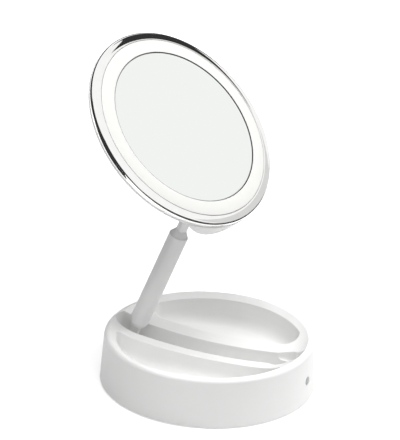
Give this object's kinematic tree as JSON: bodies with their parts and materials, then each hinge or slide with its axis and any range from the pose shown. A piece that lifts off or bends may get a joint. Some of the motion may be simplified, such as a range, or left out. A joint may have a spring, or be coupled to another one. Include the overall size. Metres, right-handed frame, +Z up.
{
  "type": "folding lighted makeup mirror",
  "caption": "Round magnifying makeup mirror with a light ring and chrome bezel, on a folding arm in a round white base with open trays and a push button.",
  "frame": {"origin": "on the ground, under the centre of the round base", "axes": "+X along the base's channel from the arm's hinge to the button, +Y to the large rear tray, +Z up"},
  "size_m": [0.1841, 0.1853, 0.2569],
  "materials": {
    "white_shell": "fine satin moulding",
    "white_cover": "matt moulding",
    "white_arm": "satin moulding",
    "grey_rubber": "matt",
    "steel": "plain bright",
    "cell_can": "satin wrap",
    "button_plastic": "satin",
    "black_plastic": "satin",
    "circuit_board": "satin lacquer",
    "bearing_plastic": "smooth",
    "silvered_glass": "polished",
    "lamp_board_white": "white lacquer",
    "lamp_white": "clear potting",
    "frosted_light": "frosted",
    "bright_chrome": "bright plated"
  },
  "bodies": {
    "base": {"tray_body": "white_shell", "base_cover": "white_cover", "foot_ring": "grey_rubber", "cover_screws": "steel", "cells": "cell_can", "battery_contacts": "steel", "control_board": "circuit_board", "tact_switch": "black_plastic", "hinge_pin": "steel", "hinge_bushes": "bearing_plastic", "hinge_washers": "bearing_plastic"},
    "door": {"battery_door": "white_cover"},
    "button": {"power_button": "button_plastic"},
    "arm": {"arm_tube": "white_arm", "arm_knuckle": "white_arm", "arm_lead": "black_plastic", "neck_bush": "bearing_plastic"},
    "neck": {"neck": "white_arm", "neck_clip": "steel"},
    "head": {"rear_housing": "white_shell", "housing_screws": "steel", "tilt_bracket": "white_arm", "bracket_screws": "steel", "tilt_pin": "steel", "tilt_washers": "bearing_plastic", "mirror_carrier": "white_cover", "mirror_pad": "grey_rubber", "mirror_glass": "silvered_glass", "lamp_board": "lamp_board_white", "lamps": "lamp_white", "diffuser_ring": "frosted_light", "chrome_bezel": "bright_chrome"}
  },
  "joints": [
    {"name": "arm_fold", "type": "hinge", "parent": "base", "child": "arm", "pos_m": [-0.0671, 0, 0.01765], "axis": [0, 1, 0], "range_deg": [-21.3, 68.7]},
    {"name": "neck_swivel", "type": "hinge", "parent": "arm", "child": "neck", "pos_m": [-0.0671, 0, 0.01765], "axis": [0.3633, 0, 0.9317], "range_deg": [-9, 28]},
    {"name": "head_tilt", "type": "hinge", "parent": "neck", "child": "head", "pos_m": [-0.02115, 0, 0.13551], "axis": [-0.4273, -0.8886, 0.1666], "range_deg": [-37, 117]},
    {"name": "button_press", "type": "slide", "parent": "base", "child": "button", "axis": [-1, 0, 0], "range_m": [0, 0.0008], "stiffness_N_per_m": 1200, "springref_m": -0.0008},
    {"name": "door_swing", "type": "hinge", "parent": "base", "child": "door", "pos_m": [0, 0.02442, 0.0025], "axis": [-1, 0, 0], "range_deg": [0, 100]}
  ],
  "couplings": [
    {"joint": "neck_swivel", "follows": "arm_fold", "ratio": 0.39738},
    {"joint": "head_tilt", "follows": "arm_fold", "ratio": 1.69}
  ]
}
